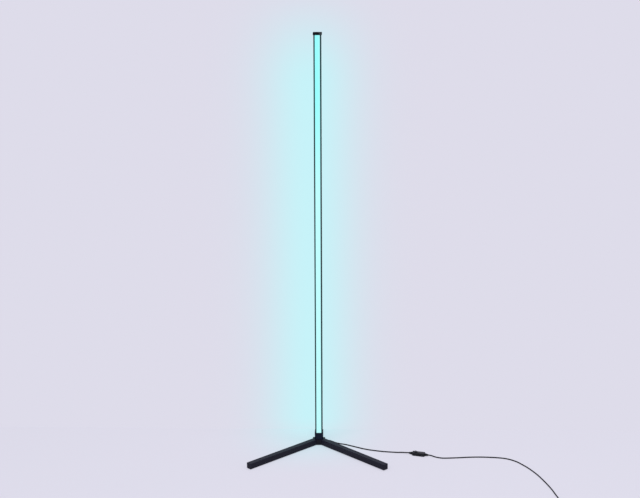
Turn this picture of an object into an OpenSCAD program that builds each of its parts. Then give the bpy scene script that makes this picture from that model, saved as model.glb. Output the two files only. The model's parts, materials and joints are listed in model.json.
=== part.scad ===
// Corner floor lamp: a slim light pole in a three-legged base, with its cord, switch and plug.
// Millimetres. +Z is up, the light faces -Y, and the origin is on the floor under the pole's axis.

/* [Pole] */
// Height of the lamp, from the floor to the top of the cap
lamp_h = 1400; // [900:10:1800]
// Width of the aluminium profile
pole_w = 25; // [24:0.5:30]
// Wall of the profile
pole_wall = 1.6; // [1.2:0.1:2]
// Radius of the profile's outer corners
pole_corner = 1.2; // [0.6:0.1:1.6]
// Width of the lip on each side of the diffuser
lip_w = 3.9; // [2.8:0.1:4]
// Depth of the light chamber, from the lips to the web
chamber_d = 13; // [11:0.5:15]
// Depth of the chamber behind the web
rear_d = 14.2; // [12:0.2:17]

/* [Light] */
// Rise of the diffuser's curved face over the lips
diffuser_crown = 0.6; // [0.3:0.1:1.2]
// Wall of the diffuser
diffuser_wall = 1.3; // [1:0.1:1.6]
// Width of the strip that carries the lights
strip_w = 10; // [8:0.5:12]
// Thickness of the strip
strip_t = 0.6; // [0.4:0.1:1]
// Side of one square light chip
chip_w = 5; // [3:0.5:6]
// Height of one chip over the strip
chip_h = 1.6; // [0.8:0.1:2]
// Distance from chip to chip
chip_pitch = 25; // [15:1:50]

/* [Cap and socket] */
// Height of the cap's sides
cap_h = 8; // [6:0.5:12]
// Thickness of the cap's top plate
cap_top = 2.6; // [2.4:0.1:4]
// Wall of the sleeves round the pole, in the cap and in the socket
sleeve_wall = 1.6; // [1.2:0.1:2.4]
// Length of pole that the socket holds
socket_grip = 20; // [20:0.5:40]
// Thickness of the socket's floor
socket_floor = 3.5; // [3:0.5:6]

/* [Base] */
// Distance across the flats of the eight-sided hub
hub_af = 42; // [40:0.5:50]
// Height of the hub
hub_h = 19.5; // [19.5:0.5:24]
// Thickness of the hub's top over its pocket
hub_roof = 4; // [3:0.5:5]
// Reach of the hub's high shoulders behind the pole's axis
shoulder_back = 3.3; // [2:0.1:6]
// Step down behind the shoulders
shoulder_drop = 5.5; // [3:0.5:6]
// Side of the square leg tube
leg_w = 19.5; // [16:0.5:19.5]
// Wall of the leg tube
leg_wall = 1.5; // [1:0.1:2]
// Length of a front leg, from the pole's axis to its tip
leg_len = 317; // [240:1:400]
// Length of the rear leg, from the pole's axis to its tip
rear_leg_len = 115; // [95:1:250]
// Length of the hub's spigots inside the legs
spigot_len = 32; // [28:1:45]
// Thickness of a leg cap's flange
leg_cap_t = 2; // [1:0.5:4]
// Thickness of the rubber feet
foot_t = 1.5; // [1.5:0.1:4]
// Radius of a leg's foot
foot_r = 6.5; // [4:0.5:8]
// Radius of the foot under the hub
hub_foot_r = 11; // [8:0.5:12]

/* [Cord] */
// Diameter of the cord
cord_d = 4.2; // [3:0.1:4.4]
// Height of the cord's axis over the hub's underside, where it leaves the hub
gland_h = 9.5; // [8.5:0.5:10.5]
// Length of the tapered gland outside the hub
gland_len = 13; // [12:0.5:16]
// Free space between turns of the coil
coil_gap = 0.5; // [0.45:0.05:1]
// Radius of the coil at the middle of its turns
coil_mid_r = 21.5; // [20:0.5:24]
// Thickness of the coil's tie
tie_t = 0.6; // [0.4:0.1:1]
// Width of the coil's tie
tie_w = 9; // [6:0.5:12]

/* [Switch] */
// Length of the switch housing
switch_l = 44; // [42:0.5:52]
// Width of the switch housing
switch_w = 18; // [18:0.5:22]
// Height of the switch housing
switch_h = 11; // [11:0.5:13]
// Wall of the switch housing
switch_wall = 1.4; // [1.2:0.1:1.6]
// Length of the rocker
rocker_l = 26; // [18:0.5:27]
// Width of the rocker
rocker_w = 8.6; // [7:0.2:9]
// Tilt of the rocker to each side of level, in degrees
rocker_tilt = 8; // [5:0.5:9]
// Length of the rubber sleeve at each end of the switch
relief_len = 11; // [8:0.5:16]

/* [Plug] */
// Length of the plug's moulded grip
grip_l = 27; // [22:0.5:32]
// Width of the plug's moulded grip
grip_w = 15.7; // [15:0.1:18]
// Height of the plug's moulded grip
grip_h = 8; // [7.6:0.1:10]
// Length of the metal shell that stands out of the grip
shell_l = 18.8; // [18:0.1:19]
// Width of the metal shell
shell_w = 12; // [11.8:0.1:12.1]
// Height of the metal shell
shell_h = 4.5; // [4.4:0.1:4.6]
// Length of the plug's tapered sleeve
plug_relief_len = 14; // [10:0.5:20]

/* [Fits] */
// Space on each side of a piece that slides into another
slip = 0.15; // [0.1:0.05:0.2]
// Space round a screw, a pin or the cord in its hole
snug = 0.05; // [0.03:0.01:0.08]

/* [Hidden] */
$fn = 48;

// Colours
anodised = [0.05, 0.06, 0.07];
powder_coat = [0.08, 0.08, 0.1];
black_plastic = [0.07, 0.07, 0.08];
black_rubber = [0.1, 0.1, 0.11];
lit_cyan = [0.6, 1, 1];
white_board = [0.92, 0.93, 0.9];
chip_yellow = [0.95, 0.9, 0.6];
dark_steel = [0.25, 0.25, 0.27];
bright_steel = [0.75, 0.76, 0.78];
brass = [0.8, 0.65, 0.3];
cut = 1; // how far a cutter runs past the face that it opens

// Heights
base_z = foot_t;
hub_top = base_z + hub_h;
pole_bottom = hub_top + socket_floor;
pole_top = lamp_h - cap_top;

// The profile, seen from above: lips, light chamber, web and rear chamber from front to back
web_y = -1.4; // front of the web
lip_back_y = web_y - chamber_d;
front_y = lip_back_y - pole_wall;
rear_y = web_y + pole_wall;
back_y = rear_y + rear_d + pole_wall;
pole_d = back_y - front_y;
pole_y = (front_y + back_y) / 2;
inner_w = pole_w - 2 * pole_wall;
slot_w = pole_w - 2 * lip_w;
port_r = 3;
port_sink = 0.6; // how far a screw port is let into the side wall
port_x = inner_w / 2 - port_r + port_sink;
port_y = rear_y + rear_d / 2;

// Sleeves that hold the pole's ends
bore_w = pole_w + 2 * slip;
bore_d = pole_d + 2 * slip;
sleeve_w = bore_w + 2 * sleeve_wall;
sleeve_d = bore_d + 2 * sleeve_wall;
bore_corner = pole_corner + slip;
sleeve_corner = bore_corner + sleeve_wall;
sleeve_back_y = pole_y + sleeve_d / 2;

// Diffuser
diffuser_w = slot_w - 2 * slip;
clip_reach = lip_w - pole_wall - slip - 0.3; // hook that holds the diffuser behind the lips
clip_d = 2.4; // depth of the hook behind a lip

// Strip of lights
strip_margin = 18; // bare ends of the light chamber
strip_bottom = pole_bottom + strip_margin;
strip_top = pole_top - strip_margin;
chip_count = floor((strip_top - strip_bottom - chip_w) / chip_pitch) + 1;
chip_rise = (strip_top - strip_bottom - (chip_count - 1) * chip_pitch) / 2; // first chip's centre
strip_y = web_y - strip_t;

// Cord inside the base and the pole
wire_r = 0.6;
wire_x = 0.75;
wire_y = strip_y - wire_r;
lead_y = wire_y - wire_r * 2;
lead_bend = 8;
lead_top = pole_bottom + strip_margin / 2;
lead_hole_r = cord_d / 2 + 2.2;

// Screws: shank radius, head radius and head height
cap_screw_r = 1.6;
cap_screw_head = 3;
cap_screw_l = 14;
m4_r = 2;
m4_head_r = 3.5;
m4_head_h = 2.2;
m3_r = 1.5;
m3_head_r = 2.8;
drive_r = 1.1; // socket in a screw's head
drive_depth = 1;

// Hub
hub_sides = 8;
face_angle = 360 / hub_sides;
pocket_r = 12.5;
plate_t = 1.6;
plate_r = 17.6;
plate_screw_at = 15; // distance from the axis
plate_screw_l = 7;
socket_screw_x = 7;
socket_screw_y = 5;
pole_screw_x = 5.5;
pole_screw_z = pole_bottom + socket_grip / 2;
pole_screw_l = sleeve_wall + slip + pole_wall + 2;
spigot_w = leg_w - 2 * leg_wall - 2 * slip;
spigot_screw_at = hub_af / 2 + spigot_len * 0.6;
leg_screw_head_h = 1.2;
leg_screw_l = 9;
leg_cap_plug = 10; // length of a cap's plug inside the tube
leg_cap_wall = 1.8;
foot_back = leg_cap_t + leg_cap_plug; // a foot's centre, back from the leg's tip
// Heading of each leg, from +X towards +Y
left_heading = -90 - face_angle;
right_heading = -90 + face_angle;
rear_heading = 90;

// Gland
gland_z = base_z + gland_h;
gland_neck_r = cord_d / 2 + 1.5;
gland_flange_r = gland_neck_r + 0.4;
gland_flange_t = 1.5;
gland_tip_r = cord_d / 2 + 0.55;
gland_out_x = hub_af / 2 + gland_len;
gland_in_x = pocket_r - 1;

// Switch: its place on the floor and its own frame, X along the cord
switch_at = [338, -100, 0];
switch_turn = -16;
cord_z = 5; // height of the cord's axis at the switch, where the two halves part
switch_corner = 6;
switch_chamfer = 1.2;
neck_r = cord_d / 2 + 0.8;
collar_r = neck_r + 0.7;
collar_t = 1.6;
relief_r = cord_z - 0.1;
relief_tip_r = cord_d / 2 + 0.9;
pivot_z = switch_h - 1.8; // axis of the rocker
pivot_r = 1.1;
pivot_reach = 1.2; // length of a pivot stub past the rocker's side
rocker_play = 0.3;
rocker_half = rocker_l / 2;
rocker_face = switch_h - pivot_z;
keel_half = 2.6;
keel_drop = 3.6;
plunger_r = 0.9;
plunger_head = 2.6; // length of the plunger inside the keel
terminal_t = 0.5;
lever_l = 14;
lever_w = 2.6;
lever_t = 0.6;
lever_bead_r = 0.5; // radius of the round bead that the lever rocks on
lever_gap = 0.2; // between the lever and the plunger, the saddle and the end contact
lever_z = switch_wall + terminal_t + lever_gap + lever_l / 2 * sin(rocker_tilt) + lever_t / 2;
plunger_tip = pivot_z - lever_z - lever_bead_r - lever_gap; // distance below the rocker's axis
lever_room = 1.2; // free length beyond each end of the lever
switch_screw_x = 17.2;
switch_screw_y = 5.2;
switch_screw_r = 1;
switch_screw_head = 2;
boss_r = 2.3;

// Plug: its place on the floor and its own frame, X towards the shell's mouth
plug_turn = 180;
plug_gap = 30; // free cord between the coil and the plug's sleeve
plug_relief_r = 3.7;
shell_t = 0.35;
shell_root = 4; // length of shell inside the grip
tongue_t = 1.84;
contact_l = 7;
contact_w = 1;
contact_t = 0.25;
contact_pitch = 2.2;

// Coil: wound inwards on the floor, then outwards on top of itself
coil_pitch = cord_d + coil_gap;
coil_start = [757, -489]; // where the cord's straight run ends on the coil
turns_in = 3.5;
turns_climb = 0.5;
turns_out = 3.25;
turns_all = turns_in + turns_climb + turns_out;
coil_out_r = coil_mid_r + turns_in / 2 * coil_pitch;
coil_in_r = coil_out_r - turns_in * coil_pitch;
coil_bulge = coil_pitch / 4; // the climb swings inwards by this much
coil_z = tie_t + cord_d / 2;
coil_centre = coil_start - [coil_out_r, 0];
coil_end_r = coil_in_r + turns_out * coil_pitch;
coil_sides = 6;
loop_rings = 24;

// The cord's free stretches, as points along its axis, chosen by hand
floor_z = cord_d / 2;
end_gap = 0.3; // between the end of one stretch of cord and what it goes into
switch_end = switch_l / 2 + relief_len + end_gap;
plug_tip = [coil_centre[0] - cord_d - plug_gap, coil_centre[1] - coil_end_r, grip_h / 2];
route_to_switch = [
    [gland_out_x + end_gap, lead_y, gland_z], [gland_out_x + 4, lead_y, gland_z], [44, -4.4, 9], [54, -6, 5.8],
    [65, -8, 3.3], [78, -11, floor_z], [95, -18, floor_z], [127, -37, floor_z], [154, -53, floor_z],
    [181, -64, floor_z], [221, -75, floor_z], [262, -81, floor_z], [282, -84, 3.4],
    switch_point([-switch_end - 4, 0, cord_z]), switch_point([-switch_end, 0, cord_z])];
route_to_coil = [
    switch_point([switch_end, 0, cord_z]), switch_point([switch_end + 8, 0, cord_z]),
    [392, -118, 2.6], [406, -124, floor_z],
    [422, -127, floor_z], [460, -124, floor_z], [505, -118, floor_z], [544, -116, floor_z],
    [582, -118, floor_z], [614, -123, floor_z], [632, -130, floor_z], [647, -140, floor_z],
    [661, -154, floor_z], [672, -170, floor_z], [689, -199, floor_z], [705, -234, floor_z],
    [718, -270, floor_z], [732, -320, floor_z], [743, -368, floor_z], [748, -400, floor_z],
    [753, -430, floor_z], [756, -458, floor_z], [coil_start[0], coil_start[1] + cord_d + 7, coil_z],
    [coil_start[0], coil_start[1] + cord_d + end_gap, coil_z]];
route_to_plug = [
    [coil_centre[0] - cord_d - end_gap, coil_centre[1] - coil_end_r, coil_z + coil_pitch],
    [coil_centre[0] - cord_d - 3, coil_centre[1] - coil_end_r, coil_z + coil_pitch],
    plug_tip + [plug_gap / 2, 0, (coil_z + coil_pitch - grip_h / 2) / 2], plug_tip + [3, 0, 0],
    plug_tip + [end_gap, 0, 0]];
steps_to_switch = 2; // rings for each point of a route
steps_to_coil = 2;
steps_to_plug = 1;
cord_sides = 8;

// A point of the switch's own frame, in the lamp's frame
function switch_point(p) = switch_at + [
    p[0] * cos(switch_turn) - p[1] * sin(switch_turn),
    p[0] * sin(switch_turn) + p[1] * cos(switch_turn), p[2]];

function unit(v) = v / norm(v);
function total(list, i = 0) = i < len(list) ? list[i] + total(list, i + 1) : 0;
function path_length(p) = total([for (i = [1:len(p) - 1]) norm(p[i] - p[i - 1])]);

// A smooth curve through the points of a route
function spline_point(p, i, t) =
    let (a = p[max(i - 1, 0)], b = p[i], c = p[i + 1], d = p[min(i + 2, len(p) - 1)])
    0.5 * (2 * b + (c - a) * t + (2 * a - 5 * b + 4 * c - d) * t * t
        + (3 * b - a - 3 * c + d) * t * t * t);
function over_floor(p) = [p[0], p[1], max(p[2], floor_z)];
function smooth(p, steps) = concat(
    [for (i = [0:len(p) - 2]) for (k = [0:steps - 1]) over_floor(spline_point(p, i, k / steps))],
    [p[len(p) - 1]]);

// Direction of a path at its point i: along the end pieces at the ends, and the mean in between
function heading(p, i) = i == 0 ? unit(p[1] - p[0])
    : i == len(p) - 1 ? unit(p[i] - p[i - 1])
    : unit(unit(p[i + 1] - p[i]) + unit(p[i] - p[i - 1]));

// Round tube of many sides along a path that never stands upright
module tube(path, r, sides) {
    rings = len(path);
    points = [for (i = [0:rings - 1])
        let (along = heading(path, i), side = unit(cross([0, 0, 1], along)), up = cross(along, side))
        for (k = [0:sides - 1]) path[i] + r * (cos(360 * k / sides) * side + sin(360 * k / sides) * up)];
    walls = [for (i = [0:rings - 2]) for (k = [0:sides - 1])
        let (a = i * sides + k, b = i * sides + (k + 1) % sides)
        for (face = [[a, a + sides, b], [b, a + sides, b + sides]]) face];
    last = (rings - 1) * sides;
    ends = [for (k = [1:sides - 2]) for (face = [[0, k, k + 1], [last, last + k + 1, last + k]]) face];
    polyhedron(points, concat(walls, ends), convexity = 8);
}

// The coil's axis, as (turns wound so far) -> point
function ease(t) = t * t * (3 - 2 * t);
function coil_radius(t) = t < turns_in ? coil_out_r - t * coil_pitch
    : t < turns_in + turns_climb
        ? coil_in_r - coil_bulge * sin(180 * (t - turns_in) / turns_climb)
    : coil_in_r + (t - turns_in - turns_climb) * coil_pitch;
function coil_height(t) = coil_z + coil_pitch * ease(min(max((t - turns_in) / turns_climb, 0), 1));
function coil_point(t) = [
    coil_centre[0] + coil_radius(t) * cos(360 * t), coil_centre[1] - coil_radius(t) * sin(360 * t),
    coil_height(t)];
coil_rings = turns_all * loop_rings;
coil_axis = concat(
    [[coil_start[0], coil_start[1] + cord_d, coil_z]],
    [for (i = [0:coil_rings]) coil_point(i / loop_rings)],
    [[coil_centre[0] - cord_d, coil_centre[1] - coil_end_r, coil_z + coil_pitch]]);
coil_least_gap = min([for (i = [0:len(coil_axis) - 1]) for (j = [i + loop_rings / 2:len(coil_axis) - 1])
    norm(coil_axis[i] - coil_axis[j])]) - cord_d;
echo(coil_least_gap = coil_least_gap);
echo(cord_length = path_length(smooth(route_to_switch, steps_to_switch))
    + switch_l + 2 * relief_len + path_length(smooth(route_to_coil, steps_to_coil))
    + path_length(coil_axis) + path_length(smooth(route_to_plug, steps_to_plug)));

// Flat shapes
module rounded_rect(w, d, r) {
    square([w - 2 * r, d], center = true);
    square([w, d - 2 * r], center = true);
    for (x = [-1, 1])
        for (y = [-1, 1])
            translate([x * (w / 2 - r), y * (d / 2 - r)])
                circle(r);
}

module rounded_block(w, d, h, r) {
    linear_extrude(h)
        rounded_rect(w, d, r);
}

// A block with its upper edges cut off at 45 degrees
module topped_block(w, d, h, r, chamfer) {
    side = chamfer * sqrt(2);
    difference() {
        rounded_block(w, d, h, r);
        for (s = [-1, 1]) {
            translate([0, s * d / 2, h])
                rotate([45, 0, 0])
                    cube([w + 2 * cut, side, side], center = true);
            translate([s * w / 2, 0, h])
                rotate([0, 45, 0])
                    cube([side, d + 2 * cut, side], center = true);
        }
    }
}

// A screw that points along +Z, with the underside of its round head at z = 0
module pan_screw(r, l, head_r, head_h) {
    difference() {
        union() {
            cylinder(r = r, h = l);
            translate([0, 0, -head_h])
                cylinder(r = head_r, h = head_h);
        }
        translate([0, 0, -head_h - cut])
            cylinder(r = drive_r, h = drive_depth + cut);
    }
}

// A countersunk screw that points along +Z, with its flat head at z = 0
module flat_screw(r, l, head_r) {
    difference() {
        union() {
            cylinder(r = r, h = l);
            cylinder(r1 = head_r, r2 = r, h = head_r - r);
        }
        translate([0, 0, -cut])
            cylinder(r = r * 0.6, h = (head_r - r) * 0.7 + cut);
    }
}

// The hole that a countersunk screw sits in
module flat_screw_hole(r, l, head_r) {
    translate([0, 0, -cut])
        cylinder(r = r + snug, h = l + cut);
    translate([0, 0, -cut])
        cylinder(r = head_r + snug, h = cut);
    cylinder(r1 = head_r + snug, r2 = r + snug, h = head_r - r);
}

// Pole

module pole_section() {
    difference() {
        union() {
            difference() {
                translate([0, pole_y])
                    rounded_rect(pole_w, pole_d, pole_corner);
                translate([-inner_w / 2, lip_back_y])
                    square([inner_w, chamber_d]);
                translate([-slot_w / 2, front_y - cut])
                    square([slot_w, pole_wall + 2 * cut]);
                translate([-inner_w / 2, rear_y])
                    square([inner_w, rear_d]);
            }
            for (s = [-1, 1])
                translate([s * port_x, port_y])
                    circle(port_r);
        }
        for (s = [-1, 1])
            translate([s * port_x, port_y])
                circle(cap_screw_r + snug);
    }
}

module pole_screw_places() {
    for (s = [-1, 1])
        translate([s * pole_screw_x, sleeve_back_y, pole_screw_z])
            rotate([90, 0, 0])
                children();
}

module pole_channel() {
    color(anodised)
        difference() {
            translate([0, 0, pole_bottom])
                linear_extrude(pole_top - pole_bottom)
                    pole_section();
            pole_screw_places()
                cylinder(r = m4_r + snug, h = pole_screw_l + cut);
        }
}

module diffuser_section() {
    crown_r = (pow(diffuser_w / 2, 2) + pow(diffuser_crown, 2)) / (2 * diffuser_crown);
    crown_y = front_y - diffuser_crown + crown_r;
    clip_y = lip_back_y + slip;
    clip_back_y = clip_y + clip_d;
    cavity_w = diffuser_w - 2 * diffuser_wall;
    difference() {
        union() {
            intersection() {
                translate([0, crown_y])
                    circle(crown_r, $fn = 360);
                translate([-diffuser_w / 2, front_y - diffuser_crown - cut])
                    square([diffuser_w, clip_back_y - front_y + diffuser_crown + cut]);
            }
            polygon([[-diffuser_w / 2 - clip_reach, clip_y], [diffuser_w / 2 + clip_reach, clip_y],
                [diffuser_w / 2, clip_back_y], [-diffuser_w / 2, clip_back_y]]);
        }
        intersection() {
            translate([0, crown_y])
                circle(crown_r - diffuser_wall, $fn = 360);
            translate([-cavity_w / 2, front_y - diffuser_crown])
                square([cavity_w, clip_back_y - front_y + diffuser_crown + cut]);
        }
    }
}

module diffuser() {
    color(lit_cyan)
        translate([0, 0, pole_bottom])
            linear_extrude(pole_top - pole_bottom)
                diffuser_section();
}

module led_strip() {
    color(white_board)
        translate([-strip_w / 2, strip_y, strip_bottom])
            cube([strip_w, strip_t, strip_top - strip_bottom]);
}

module led_chips() {
    color(chip_yellow)
        for (i = [0:chip_count - 1])
            translate([0, strip_y - chip_h / 2, strip_bottom + chip_rise + i * chip_pitch])
                cube([chip_w, chip_h, chip_w], center = true);
}

// The cord's inner end: from the gland's tip through the hub and the socket to the strip
module lead_inside() {
    color(black_rubber) {
        translate([lead_bend, lead_y, gland_z])
            rotate([0, 90, 0])
                cylinder(d = cord_d, h = gland_out_x - lead_bend);
        translate([lead_bend, lead_y, gland_z + lead_bend])
            rotate([90, 0, 0])
                rotate([0, 0, 180])
                    rotate_extrude(angle = 90)
                        translate([lead_bend, 0])
                            circle(d = cord_d);
        translate([0, lead_y, gland_z + lead_bend])
            cylinder(d = cord_d, h = lead_top - gland_z - lead_bend);
        for (s = [-1, 1])
            translate([s * wire_x, wire_y, lead_top - wire_r])
                cylinder(r = wire_r, h = strip_bottom + chip_rise / 2 - lead_top + wire_r);
    }
}

// The space that the pole and its diffuser take up inside a sleeve
module pole_bore(h) {
    translate([0, pole_y, 0])
        rounded_block(bore_w, bore_d, h, bore_corner);
    translate([-diffuser_w / 2 - slip, front_y - diffuser_crown - slip, 0])
        cube([diffuser_w + 2 * slip, diffuser_crown + pole_wall, h]);
}

// Cap

module top_cap() {
    tongue_w = slot_w - 2 * diffuser_wall - 4 * slip;
    tongue_d = chamber_d / 2;
    tongue_h = 9;
    tongue_y = lip_back_y + diffuser_wall + slip * 2;
    color(black_plastic) {
        difference() {
            translate([0, pole_y, lamp_h - cap_h])
                topped_block(sleeve_w, sleeve_d, cap_h, sleeve_corner, 0.6);
            translate([0, 0, lamp_h - cap_h - cut])
                pole_bore(cap_h - cap_top + cut);
            for (s = [-1, 1])
                translate([s * port_x, port_y, lamp_h])
                    rotate([180, 0, 0])
                        flat_screw_hole(cap_screw_r, cap_top + cut, cap_screw_head);
        }
        translate([-tongue_w / 2, tongue_y, pole_top - tongue_h])
            cube([tongue_w, tongue_d, tongue_h + 0.01]);
    }
}

module top_cap_screws() {
    color(dark_steel)
        for (s = [-1, 1])
            translate([s * port_x, port_y, lamp_h])
                rotate([180, 0, 0])
                    flat_screw(cap_screw_r, cap_screw_l, cap_screw_head);
}

// Socket

module socket_screw_places() {
    for (s = [-1, 1])
        translate([s * socket_screw_x, socket_screw_y, hub_top - hub_roof])
            children();
}

module pole_socket() {
    color(powder_coat)
        difference() {
            translate([0, pole_y, hub_top])
                rounded_block(sleeve_w, sleeve_d, socket_floor + socket_grip, sleeve_corner);
            translate([0, 0, pole_bottom])
                pole_bore(socket_grip + cut);
            translate([0, lead_y, hub_top - cut])
                cylinder(r = lead_hole_r, h = socket_floor + 2 * cut);
            socket_screw_places()
                cylinder(r = m4_r + snug, h = hub_roof + socket_floor + cut);
            pole_screw_places()
                translate([0, 0, -cut])
                    cylinder(r = m4_r + snug, h = pole_screw_l + cut);
        }
}

module pole_screws() {
    color(dark_steel)
        pole_screw_places()
            pan_screw(m4_r, pole_screw_l, m4_head_r, m4_head_h);
}

module socket_screws() {
    color(dark_steel)
        socket_screw_places()
            pan_screw(m4_r, hub_roof + socket_floor - slip, m4_head_r, m4_head_h);
}

// Hub

module plate_screw_places() {
    for (s = [-1, 1])
        translate([0, s * plate_screw_at, base_z])
            children();
}

module leg_screw_places() {
    for (a = [left_heading, right_heading, rear_heading])
        rotate(a)
            translate([spigot_screw_at, 0, base_z])
                children();
}

module hub_body() {
    color(powder_coat)
        difference() {
            union() {
                translate([0, 0, base_z])
                    linear_extrude(hub_h)
                        rotate(face_angle / 2)
                            circle(r = hub_af / 2 / cos(face_angle / 2), $fn = hub_sides);
                for (a = [left_heading, right_heading, rear_heading])
                    rotate(a)
                        translate([pocket_r, -spigot_w / 2, base_z + leg_wall + slip])
                            cube([hub_af / 2 - pocket_r + spigot_len, spigot_w, spigot_w]);
            }
            for (s = [0, 1])
                mirror([s, 0, 0])
                    translate([sleeve_w / 2, shoulder_back, hub_top - shoulder_drop])
                        cube([hub_af, hub_af, shoulder_drop + cut]);
            translate([0, 0, base_z - cut])
                cylinder(r = plate_r + slip, h = plate_t + cut);
            translate([0, 0, base_z])
                cylinder(r = pocket_r, h = hub_h - hub_roof);
            translate([0, lead_y, base_z])
                cylinder(r = lead_hole_r, h = hub_h + cut);
            translate([0, lead_y, gland_z])
                rotate([0, 90, 0])
                    cylinder(r = gland_neck_r + snug, h = hub_af);
            socket_screw_places()
                translate([0, 0, -cut])
                    cylinder(r = m4_r + snug, h = hub_roof + 2 * cut);
            plate_screw_places()
                cylinder(r = m3_r + snug, h = plate_screw_l + slip);
            leg_screw_places()
                cylinder(r = m4_r + snug, h = leg_screw_l + slip);
        }
}

module hub_plate() {
    color(powder_coat)
        difference() {
            translate([0, 0, base_z])
                cylinder(r = plate_r, h = plate_t);
            plate_screw_places()
                flat_screw_hole(m3_r, plate_t + cut, m3_head_r);
        }
}

module hub_plate_screws() {
    color(dark_steel)
        plate_screw_places()
            flat_screw(m3_r, plate_screw_l, m3_head_r);
}

// Legs

module leg(heading, length) {
    start = hub_af / 2;
    tube_l = length - leg_cap_t - start;
    color(powder_coat)
        rotate(heading)
            difference() {
                translate([start, 0, base_z + leg_w / 2])
                    rotate([90, 0, 90])
                        linear_extrude(tube_l)
                            difference() {
                                rounded_rect(leg_w, leg_w, 1.5);
                                square(leg_w - 2 * leg_wall, center = true);
                            }
                translate([spigot_screw_at, 0, base_z - cut])
                    cylinder(r = m4_r + snug, h = leg_wall + 2 * cut);
            }
}

module leg_cap(heading, length) {
    plug_w = leg_w - 2 * leg_wall - 2 * slip;
    color(black_plastic)
        rotate(heading)
            translate([length, 0, base_z + leg_w / 2])
                rotate([90, 0, -90])
                    difference() {
                        union() {
                            linear_extrude(leg_cap_t)
                                rounded_rect(leg_w, leg_w, 1.5);
                            linear_extrude(leg_cap_t + leg_cap_plug)
                                square(plug_w, center = true);
                        }
                        translate([0, 0, leg_cap_t])
                            linear_extrude(leg_cap_plug + cut)
                                square(plug_w - 2 * leg_cap_wall, center = true);
                    }
}

module foot(heading, length) {
    color(black_rubber)
        rotate(heading)
            translate([length - foot_back, 0, 0])
                cylinder(r = foot_r, h = foot_t);
}

module leg_left() {
    leg(left_heading, leg_len);
}

module leg_right() {
    leg(right_heading, leg_len);
}

module leg_rear() {
    leg(rear_heading, rear_leg_len);
}

module leg_cap_left() {
    leg_cap(left_heading, leg_len);
}

module leg_cap_right() {
    leg_cap(right_heading, leg_len);
}

module leg_cap_rear() {
    leg_cap(rear_heading, rear_leg_len);
}

module foot_left() {
    foot(left_heading, leg_len);
}

module foot_right() {
    foot(right_heading, leg_len);
}

module foot_rear() {
    foot(rear_heading, rear_leg_len);
}

module foot_hub() {
    color(black_rubber)
        cylinder(r = hub_foot_r, h = foot_t);
}

module leg_screws() {
    color(dark_steel)
        leg_screw_places()
            pan_screw(m4_r, leg_screw_l, m4_head_r, leg_screw_head_h);
}

// Cord

module cord_gland() {
    hole_r = cord_d / 2 + snug;
    color(black_rubber)
        translate([0, lead_y, gland_z])
            rotate([0, 90, 0])
                rotate_extrude()
                    polygon([[hole_r, gland_in_x], [gland_neck_r, gland_in_x],
                        [gland_neck_r, hub_af / 2], [gland_flange_r, hub_af / 2],
                        [gland_flange_r, hub_af / 2 + gland_flange_t],
                        [gland_neck_r, hub_af / 2 + gland_flange_t], [gland_tip_r, gland_out_x],
                        [hole_r, gland_out_x]]);
}

module cord_to_switch() {
    color(black_rubber)
        tube(smooth(route_to_switch, steps_to_switch), cord_d / 2, cord_sides);
}

module cord_to_coil() {
    color(black_rubber)
        tube(smooth(route_to_coil, steps_to_coil), cord_d / 2, cord_sides);
}

module cord_coil() {
    color(black_rubber)
        tube(coil_axis, cord_d / 2, coil_sides);
}

module cord_to_plug() {
    color(black_rubber)
        tube(smooth(route_to_plug, steps_to_plug), cord_d / 2, cord_sides);
}

// The tie goes round all the turns on the coil's left side
module coil_tie() {
    near = sqrt(pow(coil_in_r - coil_bulge - cord_d / 2, 2) - pow(tie_w / 2, 2)) - slip;
    far = coil_out_r + cord_d / 2 + slip;
    high = coil_z + coil_pitch + cord_d / 2 + slip;
    corner = 1.2;
    color(black_rubber)
        translate([coil_centre[0], coil_centre[1] + tie_w / 2, 0])
            rotate([90, 0, 0])
                linear_extrude(tie_w)
                    translate([-(near + far) / 2, (high + tie_t) / 2])
                        difference() {
                            rounded_rect(far - near + 2 * tie_t, high + tie_t, corner + tie_t);
                            rounded_rect(far - near, high - tie_t, corner);
                        }
}

// Switch

module at_switch() {
    translate(switch_at)
        rotate(switch_turn)
            children();
}

module switch_screw_places() {
    for (s = [-1, 1])
        translate([s * switch_screw_x, -s * switch_screw_y, 0])
            children();
}

module switch_cord_holes() {
    translate([-switch_l / 2 - cut, 0, cord_z])
        rotate([0, 90, 0])
            cylinder(r = neck_r + snug, h = switch_l + 2 * cut);
}

module switch_base() {
    color(black_plastic)
        at_switch()
            difference() {
                union() {
                    difference() {
                        rounded_block(switch_l, switch_w, cord_z, switch_corner);
                        translate([0, 0, switch_wall])
                            rounded_block(switch_l - 2 * switch_wall, switch_w - 2 * switch_wall,
                                cord_z, switch_corner - switch_wall);
                    }
                    switch_screw_places()
                        cylinder(r = boss_r, h = cord_z);
                }
                switch_cord_holes();
                switch_screw_places()
                    flat_screw_hole(switch_screw_r, cord_z + cut, switch_screw_head);
            }
}

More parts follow.
